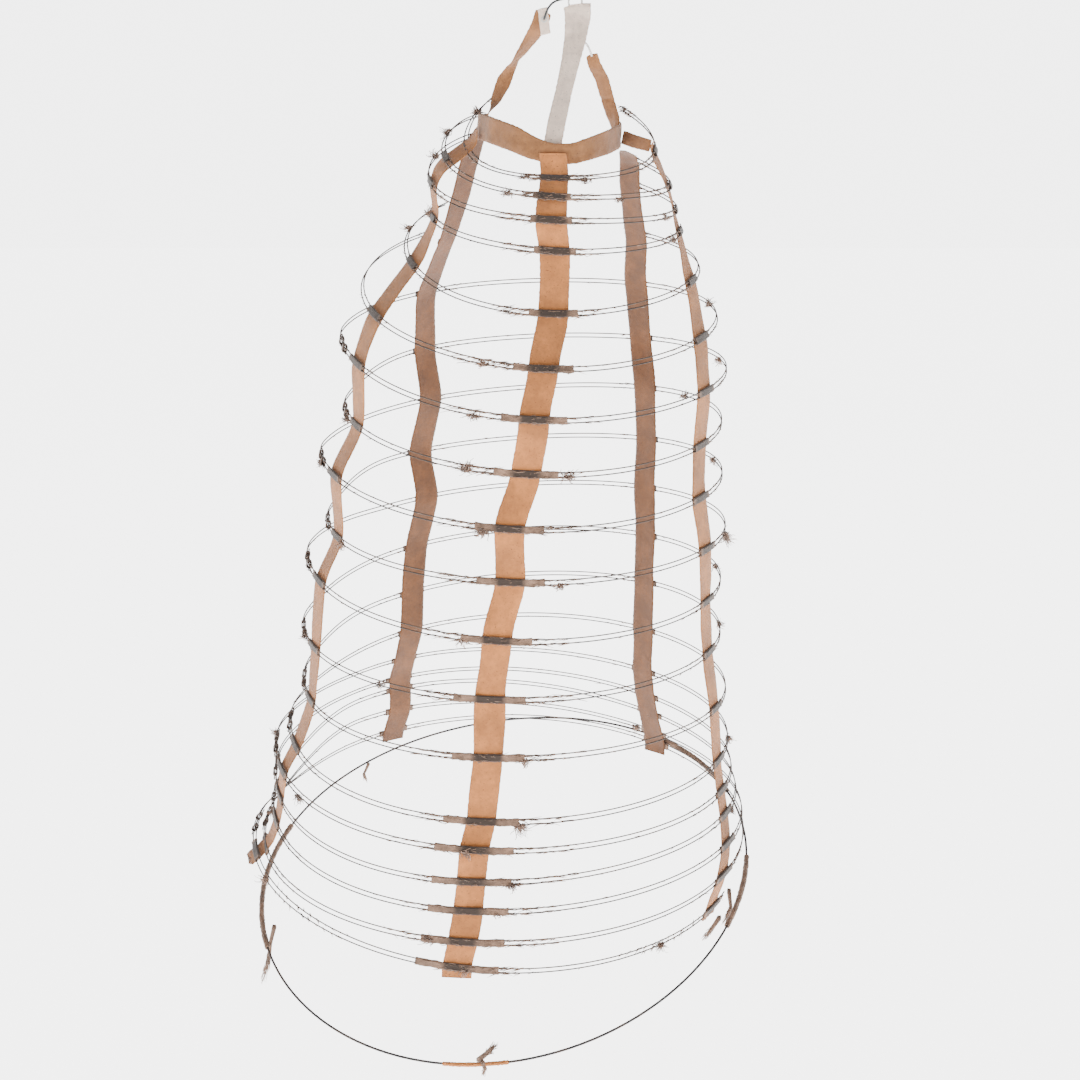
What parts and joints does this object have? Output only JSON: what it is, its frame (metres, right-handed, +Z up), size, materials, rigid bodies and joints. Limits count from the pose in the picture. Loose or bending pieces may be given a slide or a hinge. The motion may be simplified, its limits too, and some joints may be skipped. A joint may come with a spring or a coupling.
{
  "type": "crinoline cage",
  "caption": "Antique crinoline cage: fine double spring steels in worn braid on upright tapes, hung up by the ends of its waistband.",
  "frame": {"origin": "inside top of the cord loop that the cage hangs by", "axes": "+Z up, +X to the right as seen from the front, -Y to the front"},
  "size_m": [0.5969, 0.5876, 1.1209],
  "materials": {
    "tape_back": "aged woven cotton",
    "braid": "worn braid",
    "black_cord": "braided cord",
    "bottom_steel": "blackened steel",
    "eyelet": "plated",
    "white_tape": "woven cotton",
    "tape_front": "aged woven cotton",
    "white_cord": "twisted cotton",
    "steel_dark": "browned spring steel",
    "steel_light": "dulled spring steel",
    "thread": "wound thread",
    "tape_side": "aged woven cotton",
    "waist": "aged woven cotton"
  },
  "bodies": {
    "root": {"back_left_tape": "tape_back", "back_right_tape": "tape_back", "back_steel_covers": "braid", "black_cord": "black_cord", "bottom_hoop_braid": "braid", "bottom_hoop_steel": "bottom_steel", "eyelet": "eyelet", "eyelet_tab": "white_tape", "front_steel_covers": "braid", "front_tape": "tape_front", "hanging_loop": "white_cord", "hoop_01_lower_steel": "steel_dark", "hoop_01_upper_steel": "steel_light", "hoop_02_lower_steel": "steel_dark", "hoop_02_upper_steel": "steel_light", "hoop_03_lower_steel": "steel_dark", "hoop_03_upper_steel": "steel_light", "hoop_04_lower_steel": "steel_dark", "hoop_04_upper_steel": "steel_light", "hoop_05_lower_steel": "steel_dark", "hoop_05_upper_steel": "steel_light", "hoop_06_lower_steel": "steel_dark", "hoop_06_upper_steel": "steel_light", "hoop_07_lower_steel": "steel_dark", "hoop_07_upper_steel": "steel_light", "hoop_08_lower_steel": "steel_dark", "hoop_08_upper_steel": "steel_light", "hoop_09_lower_steel": "steel_dark", "hoop_09_upper_steel": "steel_light", "hoop_10_lower_steel": "steel_dark", "hoop_10_upper_steel": "steel_light", "hoop_11_lower_steel": "steel_dark", "hoop_11_upper_steel": "steel_light", "hoop_12_lower_steel": "steel_dark", "hoop_12_upper_steel": "steel_light", "hoop_13_lower_steel": "steel_dark", "hoop_13_upper_steel": "steel_light", "hoop_14_lower_steel": "steel_dark", "hoop_14_upper_steel": "steel_light", "hoop_15_lower_steel": "steel_dark", "hoop_15_upper_steel": "steel_light", "hoop_16_lower_steel": "steel_dark", "hoop_16_upper_steel": "steel_light", "hoop_17_lower_steel": "steel_dark", "hoop_17_upper_steel": "steel_light", "hoop_18_lower_steel": "steel_dark", "hoop_18_upper_steel": "steel_light", "hoop_19_lower_steel": "steel_dark", "hoop_19_upper_steel": "steel_light", "lap_bindings": "thread", "left_tape": "tape_side", "right_tape": "tape_side", "side_steel_covers": "braid", "side_yoke": "waist", "support_tape": "white_tape", "tape_scrap": "braid", "waistband": "waist", "waistband_left_end": "waist", "waistband_right_end": "waist", "white_cord": "white_cord"}
  },
  "joints": []
}
